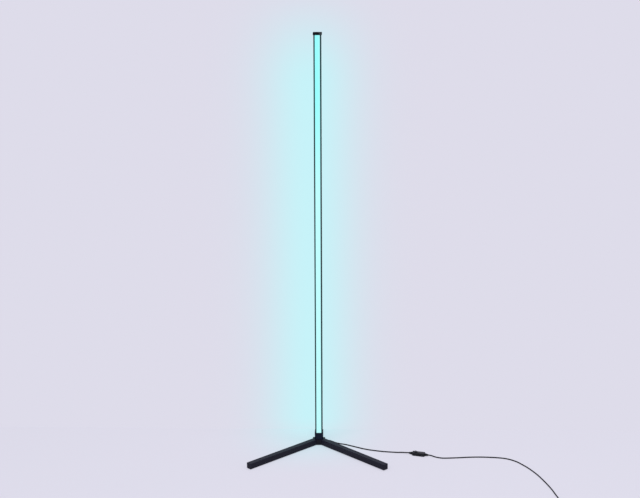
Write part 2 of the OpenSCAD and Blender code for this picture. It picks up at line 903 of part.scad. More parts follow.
module switch_cover() {
    slot_l = rocker_l + 2 * rocker_play + 0.8;
    slot_across = rocker_w + 2 * rocker_play;
    roof = switch_h - switch_wall;
    color(black_plastic)
        at_switch()
            difference() {
                union() {
                    translate([0, 0, cord_z])
                        difference() {
                            topped_block(switch_l, switch_w, switch_h - cord_z, switch_corner,
                                switch_chamfer);
                            translate([0, 0, -cut])
                                rounded_block(switch_l - 2 * switch_wall,
                                    switch_w - 2 * switch_wall, roof - cord_z + cut,
                                    switch_corner - switch_wall);
                        }
                    switch_screw_places()
                        translate([0, 0, cord_z])
                            cylinder(r = boss_r, h = roof - cord_z + 0.1);
                    for (s = [-1, 1])
                        translate([-pivot_r * 2, s * (slot_across / 2 + pivot_reach / 2) - pivot_reach / 2,
                            pivot_z - pivot_r * 2])
                            cube([pivot_r * 4, pivot_reach, roof - pivot_z + pivot_r * 2 + 0.1]);
                }
                translate([-slot_l / 2, -slot_across / 2, cord_z - cut])
                    cube([slot_l, slot_across, switch_h]);
                translate([0, -switch_w / 2 + switch_wall, pivot_z])
                    rotate([-90, 0, 0])
                        cylinder(r = pivot_r + snug, h = switch_w - 2 * switch_wall);
                switch_cord_holes();
                switch_screw_places()
                    cylinder(r = switch_screw_r + snug, h = roof);
            }
}

// The rocker in its own frame: level, with its axis along Y at the origin
module rocker_shape() {
    rise = rocker_half * tan(rocker_tilt);
    bore_h = keel_drop + plunger_head;
    difference() {
        union() {
            translate([0, rocker_w / 2, 0])
                rotate([90, 0, 0])
                    linear_extrude(rocker_w)
                        polygon([[-rocker_half, rocker_face + rise], [-rocker_half, -0.6],
                            [-keel_half, -1.4], [-keel_half, -keel_drop], [keel_half, -keel_drop],
                            [keel_half, -1.4], [rocker_half, -0.6],
                            [rocker_half, rocker_face + rise], [0, rocker_face]]);
            rotate([90, 0, 0])
                cylinder(r = pivot_r, h = rocker_w + 2 * pivot_reach, center = true);
        }
        translate([0, 0, -keel_drop - cut])
            cylinder(r = plunger_r + snug, h = plunger_head + cut);
    }
}

module at_rocker() {
    at_switch()
        translate([0, 0, pivot_z])
            rotate([0, rocker_tilt, 0])
                children();
}

module switch_rocker() {
    color(black_plastic)
        at_rocker()
            rocker_shape();
}

// Spring-loaded pin in the rocker's keel, with a round tip
module switch_plunger() {
    color(brass)
        at_rocker()
            rotate_extrude()
                difference() {
                    union() {
                        translate([0, -plunger_tip + plunger_r])
                            square([plunger_r, plunger_tip - plunger_r - keel_drop + plunger_head]);
                        translate([0, -plunger_tip + plunger_r])
                            circle(plunger_r);
                    }
                    translate([-2 * plunger_r, -plunger_tip - cut])
                        square([2 * plunger_r, plunger_tip + 2 * cut]);
                }
}

// Seesaw contact under the plunger: its left end is down while the lamp is on
module switch_lever() {
    color(brass)
        at_switch()
            translate([0, 0, lever_z])
                rotate([0, -rocker_tilt, 0]) {
                    cube([lever_l, lever_w, lever_t], center = true);
                    rotate([90, 0, 0])
                        cylinder(r = lever_bead_r, h = lever_w, center = true);
                }
}

module switch_terminals() {
    saddle_h = lever_z - lever_bead_r - lever_gap - switch_wall;
    saddle_t = 1;
    end_l = 6;
    end_x = lever_l / 2 + lever_room + 2;
    color(brass)
        at_switch() {
            translate([-end_x, -lever_w / 2, switch_wall])
                cube([end_l, lever_w, terminal_t]);
            translate([-saddle_t / 2, -lever_w / 2, switch_wall])
                cube([saddle_t, lever_w, saddle_h]);
            translate([-saddle_t / 2, -lever_w / 2, switch_wall])
                cube([end_x + saddle_t / 2, lever_w, terminal_t]);
        }
}

// Conductors: the switched one in two pieces, and the return straight through
module switch_wires() {
    collar_x = switch_l / 2 - switch_wall - collar_t;
    wire_end = lever_l / 2 + lever_room;
    wire_z = switch_wall + terminal_t + wire_r;
    return_y = lever_w / 2 + 0.9;
    color(chip_yellow)
        at_switch() {
            for (x = [-collar_x, wire_end])
                translate([x, 0, wire_z])
                    rotate([0, 90, 0])
                        cylinder(r = wire_r, h = collar_x - wire_end);
            translate([-collar_x, return_y, wire_z])
                rotate([0, 90, 0])
                    cylinder(r = wire_r, h = 2 * collar_x);
        }
}

module switch_screws() {
    color(dark_steel)
        at_switch()
            switch_screw_places()
                flat_screw(switch_screw_r, switch_h - switch_wall - slip - 1, switch_screw_head);
}

// Rubber sleeve in the housing's end: tapered outside, with a collar inside the wall
module switch_relief(side) {
    inner_x = switch_l / 2 - switch_wall;
    color(black_rubber)
        at_switch()
            translate([0, 0, cord_z])
                rotate([0, side * 90, 0])
                    rotate_extrude()
                        polygon([[0, inner_x - collar_t], [collar_r, inner_x - collar_t],
                            [collar_r, inner_x - snug], [neck_r, inner_x - snug],
                            [neck_r, switch_l / 2], [relief_r, switch_l / 2],
                            [relief_r, switch_l / 2 + relief_len / 5],
                            [relief_tip_r, switch_l / 2 + relief_len], [0, switch_l / 2 + relief_len]]);
}

module switch_relief_in() {
    switch_relief(-1);
}

module switch_relief_out() {
    switch_relief(1);
}

// Plug

module at_plug() {
    translate(plug_tip)
        rotate(plug_turn)
            children();
}

module plug_relief() {
    color(black_rubber)
        at_plug()
            rotate([0, 90, 0])
                cylinder(r1 = relief_tip_r, r2 = plug_relief_r, h = plug_relief_len);
}

module plug_grip() {
    color(black_plastic)
        at_plug()
            translate([plug_relief_len, 0, 0])
                difference() {
                    translate([grip_l / 2, 0, -grip_h / 2])
                        topped_block(grip_l, grip_w, grip_h, 2, 0.8);
                    translate([grip_l - shell_root, -shell_w / 2 - snug, -shell_h / 2 - snug])
                        cube([shell_root + cut, shell_w + 2 * snug, shell_h + 2 * snug]);
                }
}

module at_shell() {
    at_plug()
        translate([plug_relief_len + grip_l - shell_root, 0, 0])
            children();
}

module plug_shell() {
    hole_l = 2;
    hole_w = 2.3;
    hole_x = shell_root + 12;
    hole_y = 2.8;
    color(bright_steel)
        at_shell()
            difference() {
                translate([0, -shell_w / 2, -shell_h / 2])
                    cube([shell_root + shell_l, shell_w, shell_h]);
                translate([-cut, -shell_w / 2 + shell_t, -shell_h / 2 + shell_t])
                    cube([shell_root + shell_l + 2 * cut, shell_w - 2 * shell_t, shell_h - 2 * shell_t]);
                for (s = [-1, 1])
                    translate([hole_x, s * hole_y - hole_w / 2, -shell_h])
                        cube([hole_l, hole_w, 2 * shell_h]);
            }
}

module plug_tongue() {
    color(black_plastic)
        at_shell()
            translate([0, -shell_w / 2 + shell_t + snug, shell_h / 2 - shell_t - snug - tongue_t])
                cube([shell_root + shell_l - 0.8, shell_w - 2 * (shell_t + snug), tongue_t]);
}

module plug_contacts() {
    color(brass)
        at_shell()
            for (i = [-1.5:1:1.5])
                translate([shell_root + shell_l - contact_l - 1.6, i * contact_pitch - contact_w / 2,
                    shell_h / 2 - shell_t - snug - tongue_t - contact_t])
                    cube([contact_l, contact_w, contact_t]);
}

pole_channel();
diffuser();
led_strip();
led_chips();
lead_inside();
top_cap();
top_cap_screws();
pole_socket();
pole_screws();
socket_screws();
hub_body();
hub_plate();
hub_plate_screws();
leg_left();
leg_right();
leg_rear();
leg_screws();
leg_cap_left();
leg_cap_right();
leg_cap_rear();
foot_left();
foot_right();
foot_rear();
foot_hub();
cord_gland();
cord_to_switch();
switch_base();
switch_cover();
switch_rocker();
switch_plunger();
switch_lever();
switch_terminals();
switch_wires();
switch_screws();
switch_relief_in();
switch_relief_out();
cord_to_coil();
cord_coil();
coil_tie();
cord_to_plug();
plug_relief();
plug_grip();
plug_shell();
plug_tongue();
plug_contacts();
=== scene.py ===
import json
import math

import bmesh
import bpy
from mathutils import Matrix, Vector


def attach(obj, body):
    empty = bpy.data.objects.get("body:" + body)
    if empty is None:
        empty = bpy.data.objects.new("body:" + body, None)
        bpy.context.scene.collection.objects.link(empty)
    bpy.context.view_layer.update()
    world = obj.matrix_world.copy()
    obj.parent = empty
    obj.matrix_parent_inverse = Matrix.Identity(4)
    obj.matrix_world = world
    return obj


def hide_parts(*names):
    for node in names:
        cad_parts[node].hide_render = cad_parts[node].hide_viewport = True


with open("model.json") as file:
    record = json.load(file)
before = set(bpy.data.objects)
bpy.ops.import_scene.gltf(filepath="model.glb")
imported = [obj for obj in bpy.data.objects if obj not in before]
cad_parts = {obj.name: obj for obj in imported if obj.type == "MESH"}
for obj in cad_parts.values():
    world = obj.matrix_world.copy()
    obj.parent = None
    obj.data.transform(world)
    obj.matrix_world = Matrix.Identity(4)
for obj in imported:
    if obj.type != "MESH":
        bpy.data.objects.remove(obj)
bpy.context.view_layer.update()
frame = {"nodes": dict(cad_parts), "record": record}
nodes = frame["nodes"]

TURN = 2 * math.pi  # a full turn

# ---------------------------------------------------------------- camera

PICTURE_W = 640  # the photograph's width in pixels
FOCAL_PX = 1227.93
SENSOR_W = 36  # millimetres
CAMERA_AT = Vector((0.1168, -3.9623, 1.649))
HEADING, PITCH, ROLL = (math.radians(a) for a in (-1.6047, 13.6065, -0.2205))


def add_object(name, data):
    obj = bpy.data.objects.new(name, data)
    bpy.context.scene.collection.objects.link(obj)
    return obj


def add_camera():
    data = bpy.data.cameras.new("camera")
    data.sensor_width = SENSOR_W
    data.lens = FOCAL_PX * SENSOR_W / PICTURE_W
    ahead = Vector(
        (math.sin(HEADING) * math.cos(PITCH), math.cos(HEADING) * math.cos(PITCH), -math.sin(PITCH))
    )
    level = ahead.cross(Vector((0, 0, 1))).normalized()
    upright = level.cross(ahead)
    right = level * math.cos(ROLL) + upright * math.sin(ROLL)
    up = upright * math.cos(ROLL) - level * math.sin(ROLL)
    camera = add_object("camera", data)
    camera.matrix_world = Matrix.Translation(CAMERA_AT) @ Matrix((right, up, -ahead)).transposed().to_4x4()
    bpy.context.scene.camera = camera


add_camera()

# ---------------------------------------------------------------- sizes, in metres, as in the CAD

LAMP_H = 1.4

CORD_R = 0.0021
FLOOR_Z = CORD_R  # height of the cord's axis where it lies on the floor
END_GAP = 0.0003  # between a cord's end and its sleeve
END_RUN = 0.004  # straight piece of a cord before a sleeve

HUB_FACE_X = 0.021
LEAD_Y, GLAND_Z = -0.0038, 0.011  # where the cord leaves the hub
GLAND_LEN = 0.013
NECK_R = CORD_R + 0.0015  # of the gland, in the hub's wall

SWITCH_AT = Vector((0.338, -0.100, 0))
SWITCH_TURN = math.radians(-16)
SWITCH_HALF, SWITCH_TOP, SWITCH_CORD_Z = 0.022, 0.011, 0.005
RELIEF_LEN, RELIEF_R, RELIEF_TIP_R = 0.011, 0.0049, CORD_R + 0.0009
SWITCH_END = SWITCH_HALF + RELIEF_LEN + END_GAP
PIVOT_Z = 0.0092
ROCKER_TILT = math.radians(8)

COIL_START = Vector((0.757, -0.489, 0))
COIL_PITCH = 0.0047
COIL_Z = 0.0027
COIL_OUT_R = 0.029725
TURNS_IN, TURNS_CLIMB, TURNS_OUT = 3.5, 0.5, 3.25
COIL_IN_R = COIL_OUT_R - TURNS_IN * COIL_PITCH
COIL_END_R = COIL_IN_R + TURNS_OUT * COIL_PITCH
COIL_AT = COIL_START - Vector((COIL_OUT_R, 0, 0))
TIE_T, TIE_W = 0.0006, 0.009

PLUG_TIP = Vector((0.693075, -0.51755, 0.004))
PLUG_RELIEF_LEN, PLUG_RELIEF_R = 0.014, 0.0037
GRIP_L, GRIP_W, GRIP_H = 0.027, 0.0157, 0.008

LEG_LEN, REAR_LEG_LEN = 0.317, 0.115
FOOT_T, FOOT_BACK, FOOT_R, HUB_FOOT_R = 0.0015, 0.012, 0.0065, 0.011

CAP_SCREW_X, CAP_SCREW_Y = 0.0085, 0.0073
POLE_SCREW_X, POLE_SCREW_Z, POLE_SCREW_HEAD_H = 0.0055, 0.0345, 0.0022
SOCKET_BACK_Y = 0.01775

gland_place = Matrix.Translation((HUB_FACE_X, LEAD_Y, GLAND_Z))
switch_place = Matrix.Translation(SWITCH_AT) @ Matrix.Rotation(SWITCH_TURN, 4, "Z")
rocker_place = switch_place @ Matrix.Translation((0, 0, PIVOT_Z)) @ Matrix.Rotation(ROCKER_TILT, 4, "Y")
plug_place = Matrix.Translation(PLUG_TIP) @ Matrix.Rotation(math.pi, 4, "Z")

# ---------------------------------------------------------------- routes of the cord


def at_switch(x):
    """Point on the cord's axis, x along the switch from its middle."""
    return switch_place @ Vector((x, 0, SWITCH_CORD_Z))


ROUTE_TO_SWITCH = [
    (HUB_FACE_X + GLAND_LEN + END_GAP, LEAD_Y, GLAND_Z),
    (HUB_FACE_X + GLAND_LEN + END_RUN, LEAD_Y, GLAND_Z),
    (0.044, -0.0044, 0.009), (0.054, -0.006, 0.0058), (0.065, -0.008, 0.0033),
    (0.078, -0.011, FLOOR_Z), (0.095, -0.018, FLOOR_Z), (0.127, -0.037, FLOOR_Z),
    (0.154, -0.053, FLOOR_Z), (0.181, -0.064, FLOOR_Z), (0.221, -0.075, FLOOR_Z),
    (0.262, -0.081, FLOOR_Z), (0.282, -0.084, 0.0034),
    at_switch(-SWITCH_END - END_RUN), at_switch(-SWITCH_END),
]
ROUTE_TO_COIL = [
    at_switch(SWITCH_END), at_switch(SWITCH_END + 2 * END_RUN),
    (0.392, -0.118, 0.0026), (0.406, -0.124, FLOOR_Z), (0.422, -0.127, FLOOR_Z),
    (0.460, -0.124, FLOOR_Z), (0.505, -0.118, FLOOR_Z), (0.544, -0.116, FLOOR_Z),
    (0.582, -0.118, FLOOR_Z), (0.614, -0.123, FLOOR_Z), (0.632, -0.130, FLOOR_Z),
    (0.647, -0.140, FLOOR_Z), (0.661, -0.154, FLOOR_Z), (0.672, -0.170, FLOOR_Z),
    (0.689, -0.199, FLOOR_Z), (0.705, -0.234, FLOOR_Z), (0.718, -0.270, FLOOR_Z),
    (0.732, -0.320, FLOOR_Z), (0.743, -0.368, FLOOR_Z), (0.748, -0.400, FLOOR_Z),
    (0.753, -0.430, FLOOR_Z), (0.756, -0.458, FLOOR_Z),
    (COIL_START.x, COIL_START.y + 2 * CORD_R + 0.007, COIL_Z),
    (COIL_START.x, COIL_START.y + 2 * CORD_R + END_GAP, COIL_Z),
]
ROUTE_TO_PLUG = [
    (COIL_AT.x - 2 * CORD_R - END_GAP, COIL_AT.y - COIL_END_R, COIL_Z + COIL_PITCH),
    (COIL_AT.x - 2 * CORD_R - 0.003, COIL_AT.y - COIL_END_R, COIL_Z + COIL_PITCH),
    PLUG_TIP + Vector((0.015, 0, 0.0017)), PLUG_TIP + Vector((0.003, 0, 0)),
    PLUG_TIP + Vector((END_GAP, 0, 0)),
]


def smooth_line(points, steps=6):
    """Catmull-Rom line through the points that never dips below the floor."""
    points = [Vector(p) for p in points]
    line = []
    for i in range(len(points) - 1):
        a, b = points[max(i - 1, 0)], points[i]
        c, d = points[i + 1], points[min(i + 2, len(points) - 1)]
        for k in range(steps):
            t = k / steps
            p = 0.5 * (
                2 * b + (c - a) * t + (2 * a - 5 * b + 4 * c - d) * t**2
                + (3 * b - a - 3 * c + d) * t**3
            )
            line.append(Vector((p.x, p.y, max(p.z, FLOOR_Z))))
    return line + [points[-1]]


def coil_line(rings_per_turn=36):
    """Wound inwards on the floor, then outwards on top of itself."""
    turns = TURNS_IN + TURNS_CLIMB + TURNS_OUT
    line = []
    for i in range(round(turns * rings_per_turn) + 1):
        t = i / rings_per_turn
        climbed = min(max((t - TURNS_IN) / TURNS_CLIMB, 0), 1)
        if t < TURNS_IN:
            radius = COIL_OUT_R - t * COIL_PITCH
        elif t < TURNS_IN + TURNS_CLIMB:
            radius = COIL_IN_R - COIL_PITCH / 4 * math.sin(math.pi * climbed)
        else:
            radius = COIL_IN_R + (t - TURNS_IN - TURNS_CLIMB) * COIL_PITCH
        height = COIL_Z + COIL_PITCH * climbed**2 * (3 - 2 * climbed)
        a = TURN * t
        line.append(COIL_AT + Vector((radius * math.cos(a), -radius * math.sin(a), height)))
    return line


# ---------------------------------------------------------------- materials


class Nodes:
    """Makes and joins the nodes of a material or of the world."""

    def __init__(self, tree):
        self.tree = tree

    def add(self, kind):
        return self.tree.nodes.new(kind)

    def join(self, value, into):
        """Sets the socket to a colour or a number, or links another node's output to it."""
        if isinstance(value, tuple):
            into.default_value = (*value, 1)
        elif isinstance(value, (int, float)):
            into.default_value = value
        else:
            self.tree.links.new(value, into)

    def split(self, vector):
        made = self.add("ShaderNodeSeparateXYZ")
        self.join(vector, made.inputs["Vector"])
        return made.outputs

    def place(self):
        """The object's own coordinates, which are the lamp's, in metres."""
        return self.add("ShaderNodeTexCoord").outputs["Object"]

    def geometry(self, key):
        return self.add("ShaderNodeNewGeometry").outputs[key]

    def math(self, operation, *values):
        made = self.add("ShaderNodeMath")
        made.operation = operation
        for into, value in zip(made.inputs, values):
            self.join(value, into)
        return made.outputs[0]

    def times(self, a, b):
        return self.math("MULTIPLY", a, b)

    def ranged(self, out, low, high, start=0.3, end=0.7, kind="LINEAR"):
        """From low, where out is start, to high, where it is end."""
        made = self.add("ShaderNodeMapRange")
        made.interpolation_type = kind
        for key, value in (("From Min", start), ("From Max", end), ("To Min", low), ("To Max", high)):
            made.inputs[key].default_value = value
        self.join(out, made.inputs["Value"])
        return made.outputs["Result"]

    def step(self, out, start, end):
        """Smoothly from 0, where out is start, to 1, where it is end."""
        return self.ranged(out, 0, 1, start, end, "SMOOTHSTEP")

    def mixed(self, share, a, b):
        """Colour a where share is 0, colour b where it is 1."""
        mix = self.add("ShaderNodeMix")
        mix.data_type = "RGBA"
        for key, value in (("A", a), ("B", b), ("Factor", share)):
            self.join(value, mix.inputs[key])
        return mix.outputs["Result"]


class Finish(Nodes):
    """A procedural material of the lamp."""

    def __init__(self, name, colour, roughness, metallic=0.0, specular=0.5):
        self.material = bpy.data.materials.new(name)
        self.material.use_nodes = True
        super().__init__(self.material.node_tree)
        self.shader = self.tree.nodes["Principled BSDF"]
        self.shader.inputs["Base Color"].default_value = (*colour, 1)
        self.shader.inputs["Roughness"].default_value = roughness
        self.shader.inputs["Metallic"].default_value = metallic
        self.shader.inputs["Specular IOR Level"].default_value = specular
        self.colour, self.roughness = colour, roughness
        self.tint, self.normal = colour, None
        self.own_place = self.place()

    def noise(self, size, stretch=(1, 1, 1), detail=2.0):
        """Noise from 0 to 1 with lumps of about this size in metres."""
        mapping = self.add("ShaderNodeMapping")
        mapping.inputs["Scale"].default_value = stretch
        self.join(self.own_place, mapping.inputs["Vector"])
        made = self.add("ShaderNodeTexNoise")
        made.inputs["Scale"].default_value = 1 / size
        made.inputs["Detail"].default_value = detail
        self.join(mapping.outputs["Vector"], made.inputs["Vector"])
        return made.outputs["Fac"]

    def paint(self, colour):
        self.tint = colour
        self.join(colour, self.shader.inputs["Base Color"])
        return self

    def vary_colour(self, out, other):
        return self.paint(self.mixed(self.ranged(out, 0, 1), self.colour, other))

    def vary_roughness(self, out, spread):
        rough = self.ranged(out, self.roughness - spread, self.roughness + spread)
        self.join(rough, self.shader.inputs["Roughness"])
        return self

    def wear_edges(self, radius, worn):
        """A paler line, broken up by noise, along edges sharper than this radius."""
        soft = self.add("ShaderNodeBevel")
        soft.samples = 4
        soft.inputs["Radius"].default_value = radius
        dot = self.add("ShaderNodeVectorMath")
        dot.operation = "DOT_PRODUCT"
        self.join(soft.outputs["Normal"], dot.inputs[0])
        self.join(self.geometry("Normal"), dot.inputs[1])
        edge = self.ranged(dot.outputs["Value"], 1, 0, 0.8, 0.97)
        patches = self.ranged(self.noise(0.006, detail=4), 0, 1, 0.42, 0.62)
        return self.paint(self.mixed(self.times(edge, patches), self.tint, worn))

    def bump(self, out, depth):
        """Relief of this depth in metres; later calls add to earlier ones."""
        made = self.add("ShaderNodeBump")
        made.inputs["Strength"].default_value = 1.0
        made.inputs["Distance"].default_value = depth
        self.join(out, made.inputs["Height"])
        if self.normal:
            self.join(self.normal, made.inputs["Normal"])
        self.normal = made.outputs["Normal"]
        self.join(self.normal, self.shader.inputs["Normal"])
        return self


# base colours: plain, its lighter patches, its worn edges
BLACK, BLACK_LIT, BLACK_WORN = (0.0045, 0.0046, 0.007), (0.0075, 0.0077, 0.011), (0.022, 0.022, 0.028)
COAT, COAT_LIT, COAT_WORN = (0.0067, 0.0065, 0.0148), (0.0086, 0.0083, 0.018), (0.018, 0.018, 0.026)


def powder_coat(name, colour, other):
    """Fine orange-peel paint with slightly polished edges."""
    made = Finish(name, colour, 0.5, specular=0.14)
    made.vary_colour(made.noise(0.09, detail=1), other).vary_roughness(made.noise(0.004), 0.03)
    return made.wear_edges(0.0006, COAT_WORN).bump(made.noise(0.0007, detail=3), 0.00004)


def anodised(name):
    """Dark extruded aluminium with fine lines along the pole. Its teal cast is painted glow from the lit
    strip.
    """
    made = Finish(name, (0.003, 0.0085, 0.0105), 0.36, specular=0.22)
    made.vary_colour(made.noise(0.08, stretch=(1, 1, 0.3)), (0.0048, 0.0118, 0.0145))
    lines = made.noise(0.0004, stretch=(1, 1, 0.004), detail=3)
    return made.vary_roughness(lines, 0.05).bump(lines, 0.000015)


def moulded(name, colour, other, roughness, grain=0.0005, specular=0.3):
    made = Finish(name, colour, roughness, specular=specular)
    made.vary_colour(made.noise(0.02), other).vary_roughness(made.noise(0.002), 0.05)
    return made.bump(made.noise(grain, detail=3), 0.00003)


def moulded_housing(name):
    return moulded(name, BLACK, BLACK_LIT, 0.45, specular=0.18).wear_edges(0.0005, BLACK_WORN)


def woven(name):
    """The strap's nap: short crossed threads."""
    made = Finish(name, (0.01, 0.01, 0.012), 0.85, specular=0.2)
    across = made.noise(0.0005, stretch=(0.25, 1, 0.25))
    along = made.noise(0.0004, stretch=(1, 0.2, 1))
    made.shader.inputs["Sheen Weight"].default_value = 0.25
    made.shader.inputs["Sheen Roughness"].default_value = 0.5
    made.vary_colour(made.noise(0.0006), (0.022, 0.022, 0.025))
    return made.bump(across, 0.0001).bump(along, 0.0001)


def metal(name, colour, roughness, stretch=(1, 1, 1)):
    """Bare metal with fine brushed lines."""
    made = Finish(name, colour, roughness, metallic=1.0)
    lines = made.noise(0.0003, stretch=stretch, detail=3)
    return made.vary_roughness(lines, 0.06).bump(lines, 0.000003)


def lit_diffuser(name):
    """Milky plastic lit from inside: pale low down, deeper near the top, dim where the lips hold it."""
    pale, deep, deep_right = (0.455, 0.80, 0.80), (0.235, 0.80, 0.79), (0.33, 0.80, 0.79)
    dim = (0.04, 0.2, 0.22)
    # the base colour is teal, painted glow of the strip in place of the plastic's milky white
    made = Finish(name, (0.08, 0.22, 0.22), 0.4, specular=0.2)
    axes = made.split(made.own_place)
    high = made.mixed(made.step(axes["X"], 0.001, 0.007), deep, deep_right)
    glow = made.mixed(made.step(axes["Z"], 0.82, 1.24), pale, high)
    edge = made.step(made.math("ABSOLUTE", axes["X"]), 0.0072, 0.0086)
    made.join(made.mixed(edge, glow, dim), made.shader.inputs["Emission Color"])
    made.shader.inputs["Emission Strength"].default_value = 1.0
    return made.vary_roughness(made.noise(0.01), 0.04).bump(made.noise(0.0012), 0.00001)


def moulded_cap_painted_highlight(name):
    """The top cap: matt, with a painted highlight on the right-hand side of its front."""
    made = moulded(name, BLACK, BLACK_LIT, 0.8, specular=0.06).wear_edges(0.0005, (0.02, 0.024, 0.026))
    right = made.step(made.split(made.own_place)["X"], 0.0035, 0.0075)
    front = made.step(made.split(made.geometry("True Normal"))["Y"], -0.4, -0.9)
    # paints a highlight onto the right-hand side of the cap's front face
    return made.paint(made.mixed(made.times(right, front), made.tint, (0.036, 0.044, 0.046)))


FINISHES = {
    "pole_black": anodised("pole_black"),
    "diffuser": lit_diffuser("diffuser"),
    "led_board": moulded("led_board", (0.8, 0.8, 0.78), (0.74, 0.74, 0.7), 0.45),
    "led_chip": moulded("led_chip", (0.8, 0.72, 0.35), (0.85, 0.78, 0.45), 0.25),
    "base_black": powder_coat("base_black", COAT, COAT_LIT),
    # the hub's coat is darker than the legs' coat: painted shade
    "hub_shaded_black": powder_coat("hub_shaded_black", (0.0048, 0.0042, 0.0088), (0.006, 0.0052, 0.0105)),
    # the socket's coat is darker and bluer than the legs' coat: painted shade at the foot of the lit strip
    "socket_shaded_black": powder_coat("socket_shaded_black", (0.0036, 0.0068, 0.019), (0.005, 0.0086, 0.0235)),
    "cap_black": moulded_cap_painted_highlight("cap_black"),
    "leg_cap": moulded("leg_cap", COAT, COAT_LIT, 0.55, specular=0.15).wear_edges(
        0.0005, (0.018, 0.018, 0.024)
    ),
    "foot_rubber": moulded("foot_rubber", (0.014, 0.014, 0.015), (0.022, 0.022, 0.022), 0.75, 0.0008),
    "screw_steel": metal("screw_steel", (0.16, 0.16, 0.17), 0.4),
    "cord_black": moulded(
        "cord_black", (0.0045, 0.0047, 0.007), (0.008, 0.0083, 0.0115), 0.5, 0.0009, specular=0.16
    ),
    "switch_black": moulded_housing("switch_black"),
    "rocker_black": moulded(
        "rocker_black", (0.009, 0.009, 0.0125), (0.013, 0.013, 0.017), 0.32, specular=0.25
    ),
    "contact_brass": metal("contact_brass", (0.72, 0.52, 0.22), 0.3),
    "copper_wire": moulded("copper_wire", (0.5, 0.05, 0.04), (0.42, 0.04, 0.03), 0.4),
    "plug_metal": metal("plug_metal", (0.62, 0.62, 0.64), 0.28, (0.02, 1, 1)),
    "plug_black": moulded_housing("plug_black"),
    "strap": woven("strap"),
}
finish_of = {part["node"]: part["material_slot"] for part in frame["record"]["subparts"]}
finish_of.update(
    {"leg_cap_" + side: "leg_cap" for side in ("left", "right", "rear")},
    pole_socket="socket_shaded_black", hub_body="hub_shaded_black",
)


def dress(obj, finish):
    """The object's own slots take the finish; its mesh stays as it is."""
    if not obj.material_slots:
        obj.data.materials.append(None)
    for held in obj.material_slots:
        held.link = "OBJECT"
        held.material = FINISHES[finish].material


def soften(obj, width):
    """Rounds the edges of a CAD node with modifiers."""
    weld = obj.modifiers.new("weld", "WELD")
    weld.merge_threshold = 0.00001
    bevel = obj.modifiers.new("bevel", "BEVEL")
    bevel.width = width
    bevel.segments = 2
    bevel.limit_method = "ANGLE"
    bevel.angle_limit = math.radians(32)
    bevel.harden_normals = True


for name, obj in nodes.items():
    dress(obj, finish_of[name])
for name, width in (
    ("hub_body", 0.0006), ("pole_socket", 0.0005), ("leg_cap_left", 0.0004), ("leg_cap_right", 0.0004),
    ("leg_cap_rear", 0.0004), ("switch_base", 0.00025), ("switch_cover", 0.00025),
    ("switch_rocker", 0.0003), ("top_cap", 0.0002),
):
    soften(nodes[name], width)

# ---------------------------------------------------------------- pieces


def add_piece(name, mesh, body, slot, *cad, finish=None, sharp=35):
    mesh.shade_smooth()
    mesh.set_sharp_from_angle(angle=math.radians(sharp))
    piece = add_object(name, mesh)
    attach(piece, body)
    if cad:
        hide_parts(*cad)
    dress(piece, finish or slot)
    return piece


def loft(name, shells, place=Matrix()):
    """Mesh of closed shells. Each is a list of rings with equally many points; its end rings are closed."""
    made = bmesh.new()
    for rings in shells:
        rows = [[made.verts.new(place @ Vector(p)) for p in ring] for ring in rings]
        count = len(rows[0])
        for a, b in zip(rows, rows[1:]):
            for k in range(count):
                made.faces.new((a[k], a[(k + 1) % count], b[(k + 1) % count], b[k]))
        made.faces.new(rows[0][::-1])
        made.faces.new(rows[-1])
    bmesh.ops.recalc_face_normals(made, faces=made.faces)
    mesh = bpy.data.meshes.new(name)
    made.to_mesh(mesh)
    made.free()
    return mesh


def circle(sides, shift=0):
    """(cosine, sine) of evenly spaced angles, the first one at this share of a side."""
    angles = [TURN * (k + shift) / sides for k in range(sides)]
    return [(math.cos(a), math.sin(a)) for a in angles]


def signed_power(value, power):
    return math.copysign(abs(value) ** power, value)


def tube_rings(line, radius, sides=16):
    """Rings across a line that never stands upright."""
    rings = []
    for i, p in enumerate(line):
        along = (line[min(i + 1, len(line) - 1)] - line[max(i - 1, 0)]).normalized()
        side = Vector((0, 0, 1)).cross(along).normalized()
        up = along.cross(side)
        rings.append([p + radius * (c * side + s * up) for c, s in circle(sides)])
    return rings


def add_cord(name, line, *cad, reach=0.003):
    """The tube runs on by reach at both ends, into the sleeves that hold it."""
    first = line[0] + (line[0] - line[1]).normalized() * reach
    last = line[-1] + (line[-1] - line[-2]).normalized() * reach
    mesh = loft(name, [tube_rings([first] + line + [last], CORD_R)])
    return add_piece(name, mesh, "lamp", "cord_black", *cad, sharp=60)


def turned(outline, sides=48):
    """Rings of a shape turned about its own +X, from (x, radius) pairs."""
    return [[(x, r * c, r * s) for c, s in circle(sides)] for x, r in outline]


def sleeve_rings(outline, rows, depth):
    """A turned sleeve with rows of flexing slots, two to a row and a quarter turn from row to row."""
    slope = 0.00012  # how far a slot's wall leans
    slot_reach = math.cos(math.radians(64))

    def radius(x):
        for (x0, r0), (x1, r1) in zip(outline, outline[1:]):
            if x0 <= x <= x1:
                return r0 + (r1 - r0) * (x - x0) / max(x1 - x0, 1e-9)
        return outline[-1][1]

    stations = [(x, None) for x, _ in outline]
    for i, (start, end) in enumerate(rows):
        stations += [(start, None), (start + slope, i), (end - slope, i), (end, None)]
    rings = []
    for x, row in sorted(stations, key=lambda station: station[0]):
        ring = []
        for c, s in circle(48):
            r = radius(x)
            if row is not None and abs(c if row % 2 else s) > slot_reach:
                r -= depth
            ring.append((x, r * c, r * s))
        rings.append(ring)
    return rings


def rows_between(start, end, count):
    """(start, end) of each row of slots. A slot takes up this share of its row."""
    share = 0.45
    pitch = (end - start) / count
    return [
        (start + pitch * (i + 0.5 - share / 2), start + pitch * (i + 0.5 + share / 2)) for i in range(count)
    ]


